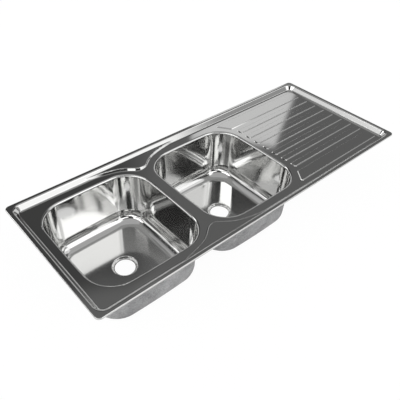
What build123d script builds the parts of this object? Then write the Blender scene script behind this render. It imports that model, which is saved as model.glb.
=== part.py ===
from build123d import *
from math import atan, cos, degrees, radians, sin, tan
import os

# An inset kitchen sink: two equal bowls on the left and a ribbed drainer on the right.
# Millimetres. X runs right along the front edge, Y towards the back, Z up. The origin is the centre
# of the worktop cut-out, on the worktop's top face, where the rim rests.

os.makedirs("parts", exist_ok=True)

# ---- driving dimensions ----

sheet = 0.8  # stainless sheet, the same for the deck and the bowls
fit_tolerance = 0.01  # how far an edge may lie from a level and still count as lying on it

# rim
deck_length = 1200.0
deck_width = 480.0
deck_corner = 14.0  # plan radius of the outer corners
rim_height = 5.0  # rim's top above the worktop
rim_flat = 12.5  # flat width of the rim
lip_bend = 2.0  # outer radius where the rim turns down

# sunken floor inside the rim
basin_drop = 16.0  # rim's top to the sunken floor
basin_run = 12.0  # plan width of the slope down to it
basin_corner = 28.0  # plan radius at the slope's top
rim_roll = 7.0  # rounding at the slope's top
foot_roll = 5.0  # rounding at the slope's foot

# bowls
bowl_length = 341.0  # inside, left to right, at the sunken floor
bowl_edge_gap = 57.5  # deck's front and back edges to the bowls
bowl_end_gap = 51.5  # deck's left edge to the left bowl
bowl_strip = 43.0  # between the two bowls
bowl_depth = 174.0  # sunken floor to bowl floor
bowl_corner = 83.0
bowl_swell = 5.0  # how far the sides swell outwards at their middle
bowl_draft = 3.0  # degrees
bowl_foot = 42.0  # rounding between wall and bowl floor
mouth_roll = 7.0  # rounding between sunken floor and wall
collar = 12.0  # depth of the deck's turned-down collar, to the weld

# waste seat in each bowl
waste_hole_radius = 31.0
seat_radius = 34.5
seat_mouth_radius = 38.0
seat_depth = 8.0
seat_roll = 2.5  # rounding at both edges of the seat's wall

# raised islands, front and back, between the bowls
island_height = 7.0
island_roll = 3.0  # rounding at an island's edge
island_lean = 30.0  # degrees
island_edge_gap = 23.0  # deck's edge to an island's outer ends
island_side_share = 1.04  # the three stretches of its concave sides: two radii and a length,
island_bend_share = 0.286  # as shares of the distance between the bowls' centres
island_flank_share = 0.057
island_side_turn = 17.0  # degrees
island_bend_turn = 21.0

# drainer lands
land_height = 2.5
land_lean = 45.0  # degrees
land_corner = 5.0
land_roll = 1.2
land_count = 7  # narrow lands, between a wide one at the front and one at the back
land_share = 0.575  # a narrow land's width as a share of their pitch
front_land_inset = 42.4  # deck's edge to the wide land
front_land_width = 43.6
back_land_inset = 42.0
back_land_width = 49.8
land_end_inset = 41.0  # deck's right edge to the lands' right ends
land_bowl_gap = 22.0  # right bowl's side to the narrow lands' left ends
land_slant = 35.5  # degrees from Y: the wide lands' left ends follow the bowl's corners

# sound-deadening coat on the bowls
coat_thickness = 1.2
coat_film = 0.1  # bond film between bowl and coat
coat_top_gap = 5.0  # weld to the coat's top edge
coat_waste_radius = 50.0  # bare disc round the waste

# foam seal under the rim
seal_width = 6.0
seal_inset = 2.6  # deck's outer edge to the seal

# stiffening channels and sound pad under the drainer
channel_sheet = 1.2
channel_flange = 11.0
channel_depth = 15.0
channel_bend = 1.0
channel_lands = {"front": 1, "back": 5}  # the narrow lands that they run under, counted from 0
drainer_fit_inset = 60.0  # deck's right edge to the channels and the pad
drainer_fit_gap = 63.5  # right bowl's side to them
pad_channel_gap = 10.5
pad_thickness = 3.0
pad_corner = 8.0

# earthing tag
tag_width = 15.0
tag_foot = 14.0
tag_drop = 18.0
tag_sheet = 0.8
tag_hole_radius = 2.65
tag_inset = 110.0  # deck's right edge to the tag
tag_groove = 7  # the groove between lands that carries it, counted from 0

# fixing clips
clip_inset = 36.0  # deck's edge to a clip's pivot
left_clip_inset = 34.0  # the left end's clip stands between the rim's slope and the bowl
right_clip_inset = 40.0  # the right end's clip stands in a groove, this far in
right_clip_groove = 4
clip_end_distance = 120.0  # deck's ends to the outer clips on the long sides
stud_radius = 2.5
stud_flange_radius = 6.0
stud_flange = 1.0
stud_head_radius = 4.0
stud_head = 1.0
pivot_clearance = 0.05  # radial, in the swivel and in the screw's holes
end_clearance = 0.1  # along the pivot and the screw
bracket_sheet = 1.5
bracket_width = 16.0
bracket_back = 9.0  # pivot to the bracket's back plate
bracket_front = 7.0  # pivot to the bracket's front edges
bracket_height = 27.1
screw_radius = 2.5
screw_collar_radius = 4.0
screw_collar = 1.2
screw_head_radius = 4.75
screw_head = 3.0
screw_slot = 1.2
screw_slot_depth = 1.5
screw_top_gap = 1.5  # stud's head to the screw's end
claw_reach = 40.0
claw_sheet = 2.0
claw_arm_width = 12.0
claw_boss_radius = 5.0
claw_boss_height = 4.0
claw_tooth_height = 4.0
claw_tooth_depth = 2.0
claw_tooth_count = 3
claw_guide_gap = 0.3  # claw's tail to the bracket's back plate
claw_rest_gap = 0.3  # claw's underside to the screw's collar

# ---- places that follow from them ----

right_edge = deck_length / 2
front_edge = -deck_width / 2
basin_floor = rim_height - basin_drop
slope_lean = degrees(atan(basin_run / basin_drop))
basin_length = deck_length - 2 * rim_flat
basin_width = deck_width - 2 * rim_flat
bowl_width = deck_width - 2 * bowl_edge_gap
bowl_pitch = bowl_length + bowl_strip
left_bowl_centre = bowl_end_gap + bowl_length / 2 - right_edge
bowl_centres = [left_bowl_centre, left_bowl_centre + bowl_pitch]
bowl_floor = basin_floor - bowl_depth
weld_level = basin_floor - collar
seat_lean = degrees(atan((seat_mouth_radius - seat_radius) / seat_depth))
deck_underside = basin_floor - sheet
land_right = right_edge - land_end_inset
land_left = bowl_centres[-1]
front_land_end = front_land_inset + front_land_width
back_land_end = back_land_inset + back_land_width
land_pitch = (deck_width - front_land_end - back_land_end) / (land_count + 1 - land_share)
land_width = land_share * land_pitch
groove_width = land_pitch - land_width
land_start = front_land_end + groove_width  # deck's front edge to the first narrow land
groove_centres = [front_edge + land_start + land_pitch * n - groove_width / 2 for n in range(land_count + 1)]
drainer_fit_left = bowl_centres[-1] + bowl_length / 2 + drainer_fit_gap
drainer_fit_length = right_edge - drainer_fit_inset - drainer_fit_left


def face_shift(skin, lean):
    """How far a wall's outline moves in plan, at the floor beside it, when its face is lowered by skin."""
    return skin * (1 / cos(radians(lean)) - tan(radians(lean)))


def rounded_plan(length, width, corner, level):
    """A rounded rectangle about the origin."""
    with BuildSketch(Plane.XY.offset(level)) as plan:
        RectangleRounded(length, width, corner)
    return plan.sketch


def bowl_plan(centre, level, growth):
    """A bowl's inside outline where it leaves the sunken floor, or one that is larger by growth all round."""
    side = bowl_length / 2 + growth
    front = bowl_width / 2 + growth
    corner_x = side - bowl_swell
    corner_y = front - bowl_swell
    with BuildSketch(Plane((centre, 0, level))) as plan:
        with BuildLine():
            ThreePointArc((-corner_x, -corner_y), (0, -front), (corner_x, -corner_y))
            ThreePointArc((corner_x, -corner_y), (side, 0), (corner_x, corner_y))
            ThreePointArc((corner_x, corner_y), (0, front), (-corner_x, corner_y))
            ThreePointArc((-corner_x, corner_y), (-side, 0), (-corner_x, -corner_y))
        make_face()
        fillet(plan.vertices(), bowl_corner + growth)
    return plan.sketch


def bowl_space(centre, skin, bottom):
    """The space between a bowl's drafted walls, from the sunken floor down to bottom, grown by skin."""
    start = basin_floor - skin
    with BuildPart() as space:
        extrude(bowl_plan(centre, start, face_shift(skin, bowl_draft)), amount=bottom - start)
        walls = space.faces().filter_by(GeomType.CYLINDER)
        draft(walls, Plane.XY.offset(start), -bowl_draft)  # a negative angle narrows the space downwards
    return space.part


def island_plan(level):
    """The two curved triangles between the bowls, at the front and at the back."""
    middle = sum(bowl_centres) / 2
    flank_lean = island_side_turn + island_bend_turn
    with BuildSketch(Plane((middle, 0, level))) as plan:
        with BuildLine():
            start = (-bowl_pitch / 2, deck_width / 2 - island_edge_gap)
            side = JernArc(start, (1, 0), island_side_share * bowl_pitch, -island_side_turn)
            bend = JernArc(side @ 1, side % 1, island_bend_share * bowl_pitch, -island_bend_turn)
            flank = PolarLine(bend @ 1, island_flank_share * bowl_pitch, direction=bend % 1)
            tip_radius = -(flank @ 1).X / sin(radians(flank_lean))
            JernArc(flank @ 1, flank % 1, tip_radius, flank_lean)
            Polyline(start, (start[0], deck_width / 2), (0, deck_width / 2))
            mirror(about=Plane.YZ)
        make_face()
        mirror(about=Plane.XZ)
    return plan.sketch


def land_plan(level):
    """All the raised lands of the drainer, cut off beside the right bowl."""
    length = land_right - land_left
    middle = (land_left + land_right) / 2
    narrow = [(land_start + land_pitch * n, land_width) for n in range(land_count)]
    back_land_start = deck_width - back_land_end
    wide = [(front_land_inset, front_land_width), (back_land_start, back_land_width)]
    half_width = deck_width / 2
    slant_start = half_width - land_start
    stop = land_left + bowl_length / 2 + land_bowl_gap
    slant_end = stop - (half_width - slant_start) * tan(radians(land_slant))
    with BuildSketch(Plane.XY.offset(level)) as plan:
        for start, width in narrow + wide:
            with Locations((middle, front_edge + start + width / 2)):
                Rectangle(length, width)
        with BuildLine():
            Polyline(
                (land_left, -half_width),
                (slant_end, -half_width),
                (stop, -slant_start),
                (stop, slant_start),
                (slant_end, half_width),
                (land_left, half_width),
                close=True,
            )
        make_face(mode=Mode.SUBTRACT)
        fillet(plan.vertices(), land_corner)
    return plan.sketch


def raised(plan, height, lean, skin, roll):
    """A raised shape on its plan, with leaning walls and a rounded top edge, its faces lowered by skin."""
    shrink = face_shift(skin, lean)
    with BuildPart() as pad:
        for outline in plan.faces():
            with BuildSketch(Plane.XY.offset(outline.center().Z)) as base:
                add(outline.moved(Location((0, 0, -outline.center().Z))))
                if shrink:
                    offset(amount=-shrink)
            extrude(base.sketch, amount=height, taper=lean)
        top_edges = pad.edges().group_by(Axis.Z)[-1]
        inside_slope = basin_width / 2 - basin_run / 2
        fillet([edge for edge in top_edges if abs(edge.center().Y) < inside_slope], roll - skin)
    return pad.part


def deck_form(skin):
    """The space above the pressing, lowered by skin: 0 for its top face and the sheet for its underside."""
    rim_level = rim_height - skin
    floor_level = basin_floor - skin
    slope_shift = face_shift(skin, slope_lean)
    air_inset = 2 * lip_bend
    with BuildPart() as form:
        air = rounded_plan(
            deck_length - 2 * air_inset, deck_width - 2 * air_inset, deck_corner - air_inset, rim_level
        )
        extrude(air, amount=basin_drop)
        mouth_length = basin_length + 2 * slope_shift
        mouth_width = basin_width + 2 * slope_shift
        mouth = rounded_plan(mouth_length, mouth_width, basin_corner + slope_shift, rim_level)
        extrude(mouth, amount=-basin_drop, taper=slope_lean)
        rim_face = form.faces().filter_by(Axis.Z).sort_by(Axis.Z)[1]
        fillet(rim_face.inner_wires()[0].edges(), rim_roll - skin)
        fillet(form.faces().sort_by(Axis.Z)[0].edges(), foot_roll + skin)
        for centre in bowl_centres:
            add(bowl_space(centre, skin, weld_level))
            mouth_edges = [edge for edge in form.edges() if on_bowl_mouth(edge, centre, floor_level)]
            fillet(mouth_edges, mouth_roll - skin)
        add(raised(island_plan(floor_level), island_height, island_lean, skin, island_roll), mode=Mode.SUBTRACT)
        add(raised(land_plan(floor_level), land_height, land_lean, skin, land_roll), mode=Mode.SUBTRACT)
    return form.part


def on_bowl_mouth(edge, centre, floor_level):
    """Whether an edge lies where the sunken floor meets the bowl at centre."""
    box = edge.bounding_box()
    at_floor = abs(box.min.Z - floor_level) < fit_tolerance and abs(box.max.Z - floor_level) < fit_tolerance
    beside_bowl = abs(edge.center().X - centre) < bowl_length / 2 + mouth_roll / 2
    return at_floor and beside_bowl and abs(edge.center().Y) < bowl_width / 2 + mouth_roll / 2


def lip_block(skin):
    """The rim's outside, shrunk by skin."""
    with BuildPart() as block:
        plan = rounded_plan(deck_length - 2 * skin, deck_width - 2 * skin, deck_corner - skin, 0)
        extrude(plan, amount=rim_height - skin)
        fillet(block.faces().sort_by(Axis.Z)[-1].edges(), lip_bend - skin)
    return block.part


def bowl_form(centre, skin):
    """A bowl's inside space from the sunken floor down to its waste seat, grown by skin."""
    bottom = bowl_floor - skin
    with BuildPart() as form:
        add(bowl_space(centre, skin, bottom))
        fillet(form.faces().sort_by(Axis.Z)[0].edges(), bowl_foot + skin)
        with BuildSketch(Plane((centre, 0, bottom))):
            Circle(seat_mouth_radius + face_shift(skin, seat_lean))
        extrude(amount=-seat_depth, taper=seat_lean)
        seat = form.faces().sort_by(Axis.Z)[0]
        fillet(seat.edges(), seat_roll + skin)
        seat_mouth = form.faces().filter_by(Axis.Z).sort_by(Axis.Z)[1]
        fillet(seat_mouth.inner_wires()[0].edges(), seat_roll - skin)
    return form.part


space_above_deck = deck_form(0)

with BuildPart() as pressing:
    add(deck_form(sheet))
    add(space_above_deck, mode=Mode.SUBTRACT)

with BuildPart() as sink_deck:
    add(lip_block(0))
    add(lip_block(sheet), mode=Mode.SUBTRACT)
    add(space_above_deck, mode=Mode.SUBTRACT)
    add(pressing.part)
sink_deck.part.label = "sink_deck"
export_step(sink_deck.part, "parts/sink_deck.step")

for side, centre in zip(["left", "right"], bowl_centres):
    with BuildPart() as bowl:
        add(bowl_form(centre, sheet))
        add(bowl_form(centre, 0), mode=Mode.SUBTRACT)
        with BuildSketch(Plane((centre, 0, bowl_floor - seat_depth))):
            Circle(waste_hole_radius)
        extrude(amount=seat_depth, both=True, mode=Mode.SUBTRACT)
        split(bisect_by=Plane.XY.offset(weld_level), keep=Keep.BOTTOM)
    bowl.part.label = "bowl_" + side
    export_step(bowl.part, "parts/bowl_" + side + ".step")

    with BuildPart() as coat:
        add(bowl_form(centre, sheet + coat_film + coat_thickness))
        add(bowl_form(centre, sheet + coat_film), mode=Mode.SUBTRACT)
        with BuildSketch(Plane((centre, 0, bowl_floor))):
            Circle(coat_waste_radius)
        extrude(amount=bowl_foot, both=True, mode=Mode.SUBTRACT)
        split(bisect_by=Plane.XY.offset(weld_level - coat_top_gap), keep=Keep.BOTTOM)
    coat.part.label = "sound_coat_" + side
    export_step(coat.part, "parts/sound_coat_" + side + ".step")

# ---- under the rim and the drainer ----

with BuildPart() as rim_seal:
    outside_length = deck_length - 2 * seal_inset
    outside_width = deck_width - 2 * seal_inset
    outside_corner = deck_corner - seal_inset
    with BuildSketch():
        RectangleRounded(outside_length, outside_width, outside_corner)
        RectangleRounded(
            outside_length - 2 * seal_width,
            outside_width - 2 * seal_width,
            outside_corner - seal_width,
            mode=Mode.SUBTRACT,
        )
    extrude(amount=rim_height - sheet)
rim_seal.part.label = "rim_seal"
export_step(rim_seal.part, "parts/rim_seal.step")

for name, land in channel_lands.items():
    channel_y = (groove_centres[land] + groove_centres[land + 1]) / 2
    hat_half = land_pitch / 2 - channel_flange / 2
    foot_end = land_pitch / 2 + channel_flange / 2
    with BuildPart() as channel:
        profile_plane = Plane((drainer_fit_left, channel_y, deck_underside), (0, 1, 0), (1, 0, 0))
        with BuildSketch(profile_plane):
            with BuildLine():
                Polyline(
                    (-foot_end, 0),
                    (-hat_half, 0),
                    (-hat_half, -channel_depth),
                    (hat_half, -channel_depth),
                    (hat_half, 0),
                    (foot_end, 0),
                    (foot_end, -channel_sheet),
                    (hat_half + channel_sheet, -channel_sheet),
                    (hat_half + channel_sheet, -channel_depth - channel_sheet),
                    (-hat_half - channel_sheet, -channel_depth - channel_sheet),
                    (-hat_half - channel_sheet, -channel_sheet),
                    (-foot_end, -channel_sheet),
                    close=True,
                )
            make_face()
        extrude(amount=drainer_fit_length)
        outer_bends = channel.edges().filter_by(Axis.X).group_by(Axis.Z)[0]
        fillet(outer_bends, channel_bend + channel_sheet)
    channel.part.label = "drainer_channel_" + name
    export_step(channel.part, "parts/drainer_channel_" + name + ".step")

with BuildPart() as sound_pad:
    front_foot = groove_centres[channel_lands["front"] + 1] + channel_flange / 2
    back_foot = groove_centres[channel_lands["back"]] - channel_flange / 2
    pad_x = drainer_fit_left + drainer_fit_length / 2
    pad_y = (front_foot + back_foot) / 2
    pad_width = back_foot - front_foot - 2 * pad_channel_gap
    with BuildSketch(Plane((pad_x, pad_y, deck_underside - pad_thickness))):
        RectangleRounded(drainer_fit_length, pad_width, pad_corner)
    extrude(amount=pad_thickness)
sound_pad.part.label = "drainer_sound_pad"
export_step(sound_pad.part, "parts/drainer_sound_pad.step")

with BuildPart() as earth_tag:
    tag_plane = Plane((right_edge - tag_inset, groove_centres[tag_groove], deck_underside), (1, 0, 0))
    with BuildSketch(tag_plane.offset(-tag_sheet)):
        Rectangle(tag_foot, tag_width, align=(Align.MIN, Align.CENTER))
    extrude(amount=tag_sheet)
    with BuildSketch(tag_plane.offset(-tag_drop)):
        Rectangle(tag_sheet, tag_width, align=(Align.MIN, Align.CENTER))
    extrude(amount=tag_drop)
    hole_plane = Plane(tag_plane.origin - Vector(0, 0, tag_drop - tag_width / 2), (0, 1, 0), (1, 0, 0))
    with BuildSketch(hole_plane):
        Circle(tag_hole_radius)
    extrude(amount=tag_sheet, mode=Mode.SUBTRACT)
    fillet(earth_tag.edges().filter_by(Axis.X).group_by(Axis.Z)[0], tag_width / 4)
earth_tag.part.label = "earth_tag"
export_step(earth_tag.part, "parts/earth_tag.step")

# ---- fixing clips ----
# Each clip hangs on a weld stud. At rest its claw lies along the rim, inside the cut-out. Its plane's
# x axis points along the claw and its origin is on the pivot, at the deck's underside.

long_side_x = right_edge - clip_end_distance
long_side_y = -front_edge - clip_inset
right_clip_y = groove_centres[right_clip_groove]
clip_planes = {
    "front_left": Plane((-long_side_x, -long_side_y, deck_underside), (1, 0, 0)),
    "front_middle": Plane((0, -long_side_y, deck_underside), (1, 0, 0)),
    "front_right": Plane((long_side_x, -long_side_y, deck_underside), (1, 0, 0)),
    "right_end": Plane((right_edge - right_clip_inset, right_clip_y, deck_underside), (0, 1, 0)),
    "back_right": Plane((long_side_x, long_side_y, deck_underside), (-1, 0, 0)),
    "back_middle": Plane((0, long_side_y, deck_underside), (-1, 0, 0)),
    "back_left": Plane((-long_side_x, long_side_y, deck_underside), (-1, 0, 0)),
    "left_end": Plane((left_clip_inset - right_edge, 0, deck_underside), (0, -1, 0)),
}

# heights below the deck's underside
bracket_top = stud_flange + end_clearance
stud_head_top = bracket_top + bracket_sheet + end_clearance
screw_end = stud_head_top + stud_head + screw_top_gap
shelf_top = bracket_top + bracket_height - bracket_sheet
collar_top = shelf_top - end_clearance - screw_collar
head_top = shelf_top + bracket_sheet + end_clearance
claw_bottom = collar_top - claw_rest_gap
claw_top = claw_bottom - claw_sheet

with BuildPart() as clip_studs:
    for plane in clip_planes.values():
        with BuildSketch(plane.offset(-stud_flange)):
            Circle(stud_flange_radius)
        extrude(amount=stud_flange)
        with BuildSketch(plane.offset(-stud_head_top)):
            Circle(stud_radius)
        extrude(amount=stud_head_top)
        with BuildSketch(plane.offset(-stud_head_top - stud_head)):
            Circle(stud_head_radius)
        extrude(amount=stud_head)
clip_studs.part.label = "clip_studs"
export_step(clip_studs.part, "parts/clip_studs.step")

for place, plane in clip_planes.items():
    with BuildPart() as bracket:
        flat_length = bracket_back + bracket_sheet + bracket_front
        for top in [bracket_top, shelf_top]:
            with BuildSketch(plane.offset(-top - bracket_sheet)):
                with Locations((-bracket_back - bracket_sheet, 0)):
                    Rectangle(flat_length, bracket_width, align=(Align.MIN, Align.CENTER))
                Circle(screw_radius + pivot_clearance, mode=Mode.SUBTRACT)
            extrude(amount=bracket_sheet)
        with BuildSketch(plane.offset(-bracket_top - bracket_height)):
            with Locations((-bracket_back - bracket_sheet, 0)):
                Rectangle(bracket_sheet, bracket_width, align=(Align.MIN, Align.CENTER))
        extrude(amount=bracket_height)
    bracket.part.label = "clip_bracket_" + place
    export_step(bracket.part, "parts/clip_bracket_" + place + ".step")

    with BuildPart() as screw:
        with BuildSketch(plane.offset(-head_top)):
            Circle(screw_radius)
        extrude(amount=head_top - screw_end)
        with BuildSketch(plane.offset(-collar_top - screw_collar)):
            Circle(screw_collar_radius)
        extrude(amount=screw_collar)
        with BuildSketch(plane.offset(-head_top - screw_head)):
            Circle(screw_head_radius)
        extrude(amount=screw_head)
        with BuildSketch(plane.offset(-head_top - screw_head)):
            Rectangle(2 * screw_head_radius, screw_slot)
        extrude(amount=screw_slot_depth, mode=Mode.SUBTRACT)
    screw.part.label = "clip_screw_" + place
    export_step(screw.part, "parts/clip_screw_" + place + ".step")

    with BuildPart() as claw:
        tail = bracket_back - claw_guide_gap
        with BuildSketch(plane.offset(-claw_bottom)):
            with Locations((-tail, 0)):
                Rectangle(tail, bracket_width, align=(Align.MIN, Align.CENTER))
            Rectangle(claw_reach, claw_arm_width, align=(Align.MIN, Align.CENTER))
            Circle(bracket_width / 2)
        extrude(amount=claw_sheet)
        with BuildSketch(plane.offset(-claw_top)):
            Circle(claw_boss_radius)
        extrude(amount=claw_boss_height)
        with BuildSketch(plane.offset(-claw_top)):
            tooth_pitch = claw_arm_width / (2 * claw_tooth_count - 1)
            with Locations((claw_reach - claw_tooth_depth, 0)):
                with GridLocations(0, 2 * tooth_pitch, 1, claw_tooth_count):
                    Rectangle(claw_tooth_depth, tooth_pitch, align=(Align.MIN, Align.CENTER))
        extrude(amount=claw_tooth_height)
        with BuildSketch(plane.offset(-claw_bottom)):
            Circle(screw_radius + pivot_clearance)
        extrude(amount=claw_sheet + claw_boss_height, mode=Mode.SUBTRACT)
    claw.part.label = "clip_claw_" + place
    export_step(claw.part, "parts/clip_claw_" + place + ".step")
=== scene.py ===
# %% [markdown]
# # An inset kitchen sink with two bowls and a drainer
#
# The sink comes from CAD as a fixed frame of solids: the pressed deck, two drawn bowls, their sprayed
# coats, the foam seal and the fixing clips. Nothing there is moved or reshaped. Each piece only gets
# its real finish here, and the studio decides what the polished steel has to reflect.

import bpy
from mathutils import Matrix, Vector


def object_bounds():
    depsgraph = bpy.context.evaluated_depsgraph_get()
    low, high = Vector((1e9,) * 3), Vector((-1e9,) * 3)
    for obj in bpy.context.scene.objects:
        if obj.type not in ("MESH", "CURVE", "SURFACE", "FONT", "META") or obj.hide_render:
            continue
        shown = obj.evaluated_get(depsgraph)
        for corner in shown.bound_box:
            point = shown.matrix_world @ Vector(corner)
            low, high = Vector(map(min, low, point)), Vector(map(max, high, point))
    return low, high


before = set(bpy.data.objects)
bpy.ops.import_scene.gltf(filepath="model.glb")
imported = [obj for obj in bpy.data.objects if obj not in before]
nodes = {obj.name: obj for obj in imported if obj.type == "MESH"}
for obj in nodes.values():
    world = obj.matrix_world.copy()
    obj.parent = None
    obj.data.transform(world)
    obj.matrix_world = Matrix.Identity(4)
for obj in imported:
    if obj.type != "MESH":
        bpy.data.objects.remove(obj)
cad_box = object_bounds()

# %% [markdown]
# ## Small helpers
#
# Colours are written as sRGB hex values, the way a colour card gives them, but shaders count in linear
# light, so one function turns the first into the second. Every material is a small network of nodes,
# and one function adds a node with its settings and its links, so that a recipe reads from top to
# bottom. Sizes of grain and grit are given in millimetres, because a pattern that is worked out from a
# real size stays right when the object is looked at from close by.

# %% Colour and size helpers
MM = 0.001


def linear(hex_colour):
    """A linear colour with alpha from an sRGB hex value such as "#8A8A8A"."""
    channels = [int(hex_colour[i : i + 2], 16) / 255 for i in (1, 3, 5)]
    return [c / 12.92 if c <= 0.04045 else ((c + 0.055) / 1.055) ** 2.4 for c in channels] + [1.0]


def per_metre(size_mm):
    """The texture scale at which one feature of a pattern is size_mm wide."""
    return 1 / (size_mm * MM)


print("a middle grey card is", [round(c, 3) for c in linear("#808080")[:3]], "in linear light")

# %% Node helper
def node(tree, kind, settings=None, **links):
    """Adds a node.

    Settings go by the name of a property or a socket. A link goes by its socket's name, or by i and the
    socket's number where several share a name, and its value is another node's output.
    """
    new = tree.nodes.new(kind)
    for name, value in (settings or {}).items():
        if name in new.inputs.keys():
            new.inputs[name].default_value = value
        else:
            setattr(new, name, value)
    for name, output in links.items():
        numbered = name[0] == "i" and name[1:].isdigit()
        tree.links.new(new.inputs[int(name[1:]) if numbered else name], output)
    return new


# %% Material helpers
def new_material(name):
    """An empty material whose only node is its output."""
    material = bpy.data.materials.new(name)
    material.use_nodes = True
    tree = material.node_tree
    tree.nodes.clear()
    return material, tree, tree.nodes.new("ShaderNodeOutputMaterial")


def dress(material, cad_material, *names):
    """Gives a material to CAD nodes, in every material slot that they have."""
    for name in names:
        for i in range(len(nodes[name].data.materials)):
            nodes[name].data.materials[i] = material
    print(material.name, "on", len(names), "nodes, for the CAD's", cad_material)


print("pieces to dress:", ", ".join(sorted(nodes)))

# %% [markdown]
# ## Satin stainless sheet: the deck
#
# The deck is one sheet of 0.8 mm stainless steel, rolled to a satin finish and pressed. The rolling
# leaves very fine lines along the sheet, which blur a reflection more across the lines than along
# them. A mirror with a single roughness looks like chrome, so here a noise that is stretched along X
# makes both a faint bump and an uneven roughness. The real lines are about 0.05 mm wide. They are drawn
# 0.6 mm wide, because the real ones would be far below a pixel. The pressing also leaves the floor a
# little wavy, which shows as a gentle waver in a straight reflection: a second noise, two hands wide,
# does that. A metal keeps the default IOR, because its colour already says how it reflects.

# %% Satin steel
ROLLING_LINE = 0.6  # mm, width of a line as drawn
ROLLING_STRETCH = 60  # how many widths long a line is
PRESSING_WAVE = 160  # mm, width of a wave
UNEVENNESS = 0.2  # share by which the roughness varies


def satin_steel(name, colour, roughness, line_depth, wave_depth):
    """Rolled steel. The depths of the lines and the waves are in mm."""
    material, tree, output = new_material(name)
    place = node(tree, "ShaderNodeTexCoord").outputs["Object"]
    stretched = node(tree, "ShaderNodeMapping", {"Scale": (1 / ROLLING_STRETCH, 1, 1)}, Vector=place)
    lines = node(
        tree,
        "ShaderNodeTexNoise",
        {"Scale": per_metre(ROLLING_LINE), "Detail": 2.0, "Roughness": 0.6},
        Vector=stretched.outputs["Vector"],
    )
    waves = node(
        tree, "ShaderNodeTexNoise", {"Scale": per_metre(PRESSING_WAVE), "Detail": 1.0}, Vector=place
    )
    uneven = node(
        tree,
        "ShaderNodeMapRange",
        {"To Min": roughness * (1 - UNEVENNESS), "To Max": roughness * (1 + UNEVENNESS)},
        Value=lines.outputs["Fac"],
    )
    wavy = node(
        tree,
        "ShaderNodeBump",
        {"Strength": 1.0, "Distance": wave_depth * MM},
        Height=waves.outputs["Fac"],
    )
    lined = node(
        tree,
        "ShaderNodeBump",
        {"Strength": 1.0, "Distance": line_depth * MM},
        Height=lines.outputs["Fac"],
        Normal=wavy.outputs["Normal"],
    )
    steel = node(
        tree,
        "ShaderNodeBsdfPrincipled",
        {"Base Color": linear(colour), "Metallic": 1.0},
        Roughness=uneven.outputs["Result"],
        Normal=lined.outputs["Normal"],
    )
    tree.links.new(output.inputs["Surface"], steel.outputs["BSDF"])
    return material


deck_steel = satin_steel("satin_stainless", "#CBCBCA", roughness=0.055, line_depth=0.0006, wave_depth=0.12)
dress(deck_steel, "deck_steel", "sink_deck")

# %% [markdown]
# ## Polished stainless: the bowls
#
# The bowls are deep drawn from the same sheet and then polished inside, so they mirror the room and
# themselves almost sharply. That is why their walls break into white and black patches. The recipe is
# the deck's, with a little more roughness, because drawing coarsens the grain, and with deeper waves,
# because it stretches a sheet unevenly.

# %% Polished steel
bowl_steel = satin_steel("polished_stainless", "#D0D0CF", roughness=0.10, line_depth=0.0008, wave_depth=1.0)
dress(bowl_steel, "bowl_steel", "bowl_left", "bowl_right")

# %% [markdown]
# ## Sprayed sound-deadening coat
#
# Thin bowls drum when water hits them, so the maker sprays their outside with a filled grey paint
# about a millimetre thick. It dries matt and sandy. A fine noise gives the grit its bump and speckle,
# and a broad one gives the cloudy thick and thin places of a spray gun. Grit is really about 0.4 mm;
# it is drawn 3 mm wide so that it still shows.

# %% Sprayed coat
COAT_GRIT = 3.0  # mm as drawn
COAT_CLOUD = 70  # mm, width of a thick or thin place
CLOUD_SHARE = 0.3  # share of the clouds in the colour; the grit has the rest
NOISE_SPREAD = (0.38, 0.62)  # the part of a noise's range where nearly all of it lies
GRIT_HEIGHT = 0.3  # mm
COAT_ROUGHNESS = 0.75


def sprayed_coat():
    material, tree, output = new_material("sprayed_coat")
    place = node(tree, "ShaderNodeTexCoord").outputs["Object"]
    grit = node(
        tree,
        "ShaderNodeTexNoise",
        {"Scale": per_metre(COAT_GRIT), "Detail": 4.0, "Roughness": 0.8},
        Vector=place,
    )
    cloud = node(tree, "ShaderNodeTexNoise", {"Scale": per_metre(COAT_CLOUD), "Detail": 2.0}, Vector=place)
    both = node(
        tree,
        "ShaderNodeMix",
        {"Factor": CLOUD_SHARE},
        i2=grit.outputs["Fac"],
        i3=cloud.outputs["Fac"],
    )
    spread = node(
        tree,
        "ShaderNodeMapRange",
        {"From Min": NOISE_SPREAD[0], "From Max": NOISE_SPREAD[1]},
        Value=both.outputs["Result"],
    )
    colour = node(tree, "ShaderNodeValToRGB", Fac=spread.outputs["Result"])
    colour.color_ramp.elements[0].color = linear("#6C6C6D")
    colour.color_ramp.elements[1].color = linear("#C4C4C5")
    bump = node(
        tree, "ShaderNodeBump", {"Strength": 0.6, "Distance": GRIT_HEIGHT * MM}, Height=grit.outputs["Fac"]
    )
    paint = node(
        tree,
        "ShaderNodeBsdfPrincipled",
        {"Roughness": COAT_ROUGHNESS},
        Normal=bump.outputs["Normal"],
        **{"Base Color": colour.outputs["Color"]},
    )
    tree.links.new(output.inputs["Surface"], paint.outputs["BSDF"])
    return material


dress(sprayed_coat(), "sound_coat", "sound_coat_left", "sound_coat_right")

# %% [markdown]
# ## The hidden pieces under the rim
#
# A foam strip seals the rim to the worktop. Two galvanised channels and a bitumen felt pad stiffen and
# quieten the drainer. The studs and the earth tag are plain stainless, and the clips are zinc plated
# against rust. None of them shows from above, but they are what a fitter sees, so each gets its own
# finish. Foam is a field of small cells, so a cell pattern makes its bump. Felt is matted fibre, so it
# gets a coarse noise. Hot-dip zinc freezes into flat crystals called spangle, each of which reflects a
# little differently: a cell pattern gives every crystal its own brightness and roughness.

# %% Foam and felt
FOAM_CELL = 0.8  # mm
FELT_TUFT = 2.5  # mm
SOFT_BUMP = 0.8  # share of the full relief


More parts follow.
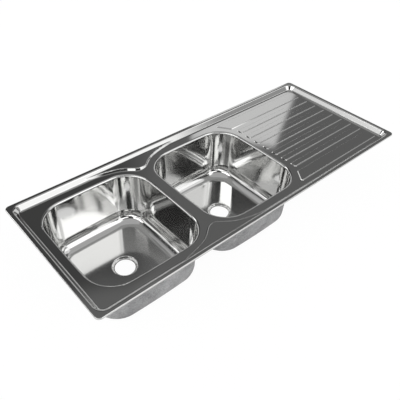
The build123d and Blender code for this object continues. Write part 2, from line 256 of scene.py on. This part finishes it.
def soft_black(name, colour, pattern, size, depth, roughness):
    """A matt dark material with a raised pattern: a texture node and its output, with mm for its size."""
    material, tree, output = new_material(name)
    place = node(tree, "ShaderNodeTexCoord").outputs["Object"]
    kind, result = pattern
    raised = node(tree, kind, {"Scale": per_metre(size)}, Vector=place).outputs[result]
    bump = node(tree, "ShaderNodeBump", {"Strength": SOFT_BUMP, "Distance": depth * MM}, Height=raised)
    surface = node(
        tree,
        "ShaderNodeBsdfPrincipled",
        {"Base Color": linear(colour), "Roughness": roughness},
        Normal=bump.outputs["Normal"],
    )
    tree.links.new(output.inputs["Surface"], surface.outputs["BSDF"])
    return material


foam = soft_black("closed_cell_foam", "#2B2B2C", ("ShaderNodeTexVoronoi", "Distance"), FOAM_CELL, 0.3, 0.85)
felt = soft_black("bitumen_felt", "#262524", ("ShaderNodeTexNoise", "Fac"), FELT_TUFT, 0.5, 0.9)
dress(foam, "foam_seal", "rim_seal")
dress(felt, "bitumen_pad", "drainer_sound_pad")

# %% Galvanised steel
SPANGLE = 9  # mm, one zinc crystal
SPANGLE_ROUGHNESS = (0.35, 0.55)  # of the darkest and of the lightest crystals


def galvanised_steel():
    material, tree, output = new_material("galvanised_spangle")
    place = node(tree, "ShaderNodeTexCoord").outputs["Object"]
    crystals = node(tree, "ShaderNodeTexVoronoi", {"Scale": per_metre(SPANGLE)}, Vector=place)
    shade = node(tree, "ShaderNodeSeparateColor", Color=crystals.outputs["Color"]).outputs["Red"]
    colour = node(tree, "ShaderNodeValToRGB", Fac=shade)
    colour.color_ramp.elements[0].color = linear("#8F9497")
    colour.color_ramp.elements[1].color = linear("#BCC1C4")
    rough = node(
        tree,
        "ShaderNodeMapRange",
        {"To Min": SPANGLE_ROUGHNESS[0], "To Max": SPANGLE_ROUGHNESS[1]},
        Value=shade,
    )
    surface = node(
        tree,
        "ShaderNodeBsdfPrincipled",
        {"Metallic": 1.0},
        Roughness=rough.outputs["Result"],
        **{"Base Color": colour.outputs["Color"]},
    )
    tree.links.new(output.inputs["Surface"], surface.outputs["BSDF"])
    return material


dress(galvanised_steel(), "galvanised_steel", "drainer_channel_front", "drainer_channel_back")

# %% Plain stainless and zinc plate
fitting_steel = satin_steel("plain_stainless", "#C4C4C2", roughness=0.3, line_depth=0.004, wave_depth=0.0)
dress(fitting_steel, "stainless_fittings", "earth_tag", "clip_studs")
zinc_plate = satin_steel("bright_zinc_plate", "#C2C7CC", roughness=0.28, line_depth=0.003, wave_depth=0.05)
clip_pieces = [name for name in nodes if name.startswith("clip_") and name != "clip_studs"]
dress(zinc_plate, "zinc_plate", *clip_pieces)

# %% [markdown]
# ## The studio: what the steel reflects
#
# Polished steel has almost no colour of its own. It shows the room, so the room is part of the finish.
# The photograph's sink was lit by a few large white panels in a dim room: flat steel that faces the
# dim part looks dark grey, and each slope or wall that faces a panel flashes white. Real panels could
# be built as lamps, but a lamp close by gives each piece a different reflection and has to be aimed by
# trial. Panels that are painted on the world, each by its compass direction and height, are seen alike
# from everywhere, and they can be worked out: a flat mirror sends a ray that comes down at 41 degrees
# back up at 41 degrees. For each patch of the photograph, the direction that a mirror sees there was
# worked out, and the panels were placed by that. Angles are in degrees, the compass from +X towards +Y,
# the height above the horizon. Steel gives back about six tenths of the light at each bounce, so a
# panel that a bowl shows white after two bounces is brighter than 1.

# %% World helpers
def product(tree, first, second):
    """The product of two outputs, or of an output and a number."""
    times = node(tree, "ShaderNodeMath", {"operation": "MULTIPLY"}, i0=first)
    if isinstance(second, float):
        times.inputs[1].default_value = second
    else:
        tree.links.new(times.inputs[1], second)
    return times.outputs["Value"]


def window(tree, value, low, high, soft):
    """1 where value lies between low and high, 0 outside, with soft edges."""
    rise = node(
        tree,
        "ShaderNodeMapRange",
        {"interpolation_type": "SMOOTHSTEP", "From Min": low - soft, "From Max": low + soft},
        Value=value,
    )
    fall = node(
        tree,
        "ShaderNodeMapRange",
        {
            "interpolation_type": "SMOOTHSTEP",
            "From Min": high - soft,
            "From Max": high + soft,
            "To Min": 1.0,
            "To Max": 0.0,
        },
        Value=value,
    )
    return product(tree, rise.outputs["Result"], fall.outputs["Result"])


def add_light(tree, total, mask, brightness):
    """Adds a masked brightness to the running total."""
    more = node(tree, "ShaderNodeMath", {"operation": "MULTIPLY_ADD"}, i0=mask, i2=total)
    more.inputs[1].default_value = brightness
    return more.outputs["Value"]


def add_panel(tree, total, compass, height, sides, heights, soft, brightness):
    """Adds the light of a panel between two sides and two heights."""
    across = window(tree, compass, *sides, soft)
    up = window(tree, height, *heights, soft)
    return add_light(tree, total, product(tree, across, up), brightness)


# %% Panels
DIM_ROOM = 0.055  # brightness where there is no panel
LOW_WALLS = ((-90, 13), 2.0, 0.945)  # heights, softness, brightness
CEILING = ((57, 90), 3.0, 0.5)
# Each panel has its sides, heights, softness and brightness. The compass runs from 0 to 360, so the
# strip on the right is cut in two there.
PANELS = {
    "back_wall": ((15.0, 57.0), (9.0, 60.0), 4.0, 0.11),
    "back_left_wall": ((57.0, 95.0), (9.0, 60.0), 4.0, 0.02),
    "back_top_wall": ((40.0, 84.0), (50.5, 58.0), 1.5, 0.1),
    "front_panel": ((276.0, 308.5), (12.0, 57.0), 4.0, 1.5),
    "front_lamp": ((287.0, 302.0), (34.0, 42.0), 2.0, 1.3),
    "front_upper_lamp": ((292.0, 305.0), (46.0, 56.0), 3.0, 0.45),
    "front_top_panel": ((308.0, 324.0), (36.0, 54.0), 3.0, 1.4),
    "front_right_panel": ((309.0, 332.0), (8.0, 36.0), 3.0, 0.38),
    "right_panel": ((315.0, 335.0), (34.5, 40.0), 1.0, 1.2),
    "right_top_panel": ((322.0, 352.0), (36.0, 60.0), 4.0, 0.9),
    "front_left_strip": ((240.0, 280.0), (36.5, 42.0), 1.0, 2.6),
    "front_left_panel": ((262.0, 280.0), (41.0, 46.0), 2.0, 1.4),
    "left_panel": ((143.0, 209.0), (38.8, 48.0), 0.6, 3.1),
    "left_middle_panel": ((138.0, 190.0), (32.0, 38.6), 0.6, 1.05),
    "left_narrow_panel": ((209.0, 216.5), (32.5, 36.8), 0.6, 1.6),
    "left_step_panel": ((193.0, 222.0), (29.0, 33.5), 0.6, 1.8),
    "left_low_panel": ((137.0, 232.5), (16.0, 29.0), 1.0, 2.1),
    "left_low_end": ((232.5, 245.0), (24.8, 29.5), 1.0, 2.1),
    "back_left_panel": ((108.0, 127.5), (25.0, 41.5), 0.6, 3.4),
    "high_room": ((90.0, 280.0), (49.0, 58.0), 3.0, 0.36),
    "back_strip": ((58.0, 114.0), (13.0, 20.0), 3.0, 1.0),
    "right_strip": ((-10.0, 32.0), (13.0, 20.0), 3.0, 0.9),
    "right_strip_front": ((338.0, 370.0), (13.0, 20.0), 3.0, 0.9),
}
# The window's sides lean: they move by this many degrees of the compass for each degree of height.
WINDOW_LEAN = 0.25
BACK_WINDOW = ((28.5, 40.5), (27.0, 34.0), 0.35, 0.68)
FULL_TURN = 360.0
print("world panels", len(PANELS) + 1)

# %% World
world = bpy.data.worlds.new("studio")
bpy.context.scene.world = world
world.use_nodes = True
tree = world.node_tree
tree.nodes.clear()
direction = node(tree, "ShaderNodeTexCoord").outputs["Generated"]
split = node(tree, "ShaderNodeSeparateXYZ", Vector=direction)
signed = node(
    tree, "ShaderNodeMath", {"operation": "ARCTAN2"}, i0=split.outputs["Y"], i1=split.outputs["X"]
)
degrees = node(tree, "ShaderNodeMath", {"operation": "DEGREES"}, i0=signed.outputs["Value"])
compass = node(tree, "ShaderNodeMath", {"operation": "FLOORED_MODULO"}, i0=degrees.outputs["Value"])
compass.inputs[1].default_value = FULL_TURN
azimuth = compass.outputs["Value"]
rise = node(tree, "ShaderNodeMath", {"operation": "ARCSINE"}, i0=split.outputs["Z"])
height = node(tree, "ShaderNodeMath", {"operation": "DEGREES"}, i0=rise.outputs["Value"]).outputs["Value"]
room = node(tree, "ShaderNodeValue")
room.outputs["Value"].default_value = DIM_ROOM
light = room.outputs["Value"]
for (low, high), soft, brightness in (LOW_WALLS, CEILING):
    light = add_light(tree, light, window(tree, height, low, high, soft), brightness)
for place in PANELS.values():
    light = add_panel(tree, light, azimuth, height, *place)
leaning = node(tree, "ShaderNodeMath", {"operation": "MULTIPLY_ADD"}, i0=height, i2=azimuth)
leaning.inputs[1].default_value = -WINDOW_LEAN
light = add_panel(tree, light, leaning.outputs["Value"], height, *BACK_WINDOW)
background = node(tree, "ShaderNodeBackground", {"Color": linear("#FFFFFF")}, Strength=light)
node(tree, "ShaderNodeOutputWorld", Surface=background.outputs["Background"])
print("world nodes", len(tree.nodes))

# %% [markdown]
# ## Floor
#
# The photograph's background is plain white. A floor that is only painted white turns grey wherever
# the light falls off, so most of what the eye, a mirror or a glass sees of it is a steady white, and a
# small share is real paint, which keeps a faint trace of the sink's shadow.

# %% Floor plane
FLOOR_SIZE = 60.0  # metres, so that its edge is lost at the horizon
STEADY_WHITE = 0.93  # share of steady white
WHITE_GLOW = 1.03  # a little over 1, to make up for the share of paint

floor_mesh = bpy.data.meshes.new("floor")
half = FLOOR_SIZE / 2
floor_z = cad_box[0][2]
corners = [(-half, -half, floor_z), (half, -half, floor_z), (half, half, floor_z), (-half, half, floor_z)]
floor_mesh.from_pydata(corners, [], [(0, 1, 2, 3)])
floor = bpy.data.objects.new("floor", floor_mesh)
bpy.context.scene.collection.objects.link(floor)
print("floor at z", round(floor_z, 4))

# %% Floor material
floor_paint, tree, output = new_material("floor_white")
ray = node(tree, "ShaderNodeLightPath")
seen = node(
    tree,
    "ShaderNodeMath",
    {"operation": "MAXIMUM"},
    i0=ray.outputs["Is Camera Ray"],
    i1=ray.outputs["Is Glossy Ray"],
)
seen = node(
    tree,
    "ShaderNodeMath",
    {"operation": "MAXIMUM"},
    i0=seen.outputs["Value"],
    i1=ray.outputs["Is Transmission Ray"],
)
share = product(tree, seen.outputs["Value"], STEADY_WHITE)
paint = node(tree, "ShaderNodeBsdfDiffuse", {"Color": linear("#F2F2F2")})
steady = node(tree, "ShaderNodeEmission", {"Color": linear("#FFFFFF"), "Strength": WHITE_GLOW})
mix = node(
    tree,
    "ShaderNodeMixShader",
    Fac=share,
    i1=paint.outputs["BSDF"],
    i2=steady.outputs["Emission"],
)
tree.links.new(output.inputs["Surface"], mix.outputs["Shader"])
floor_mesh.materials.append(floor_paint)
print("floor material", floor_paint.name)

# %% [markdown]
# ## Camera
#
# The camera stands in front of the left end, about nine tenths of a metre above the worktop, and looks
# down across the sink. Its place was worked out from the rim's four corners in the photograph and the
# known 1200 by 480 mm of the rim. The three rows are the camera's right, down and forward directions.

# %% Camera
CAMERA_PLACE = (-0.8614, -0.8401, 0.9100)
CAMERA_RIGHT = (0.75179, -0.65869, 0.03062)
CAMERA_DOWN = (-0.41591, -0.50970, -0.75315)
CAMERA_FORWARD = (0.51170, 0.55347, -0.65714)
FOCAL_PIXELS = 480.7  # for a frame 400 pixels wide
FRAME_PIXELS = 400
SENSOR_WIDTH = 36.0  # mm

camera_data = bpy.data.cameras.new("camera")
camera = bpy.data.objects.new("camera", camera_data)
bpy.context.scene.collection.objects.link(camera)
camera_data.sensor_width = SENSOR_WIDTH
camera_data.lens = SENSOR_WIDTH * FOCAL_PIXELS / FRAME_PIXELS
turn = Matrix((CAMERA_RIGHT, [-c for c in CAMERA_DOWN], [-c for c in CAMERA_FORWARD])).transposed()
camera.matrix_world = Matrix.Translation(CAMERA_PLACE) @ turn.to_4x4()
bpy.context.scene.camera = camera
print("lens", round(camera_data.lens, 2), "mm")

bpy.context.scene.view_settings.view_transform = "Standard"
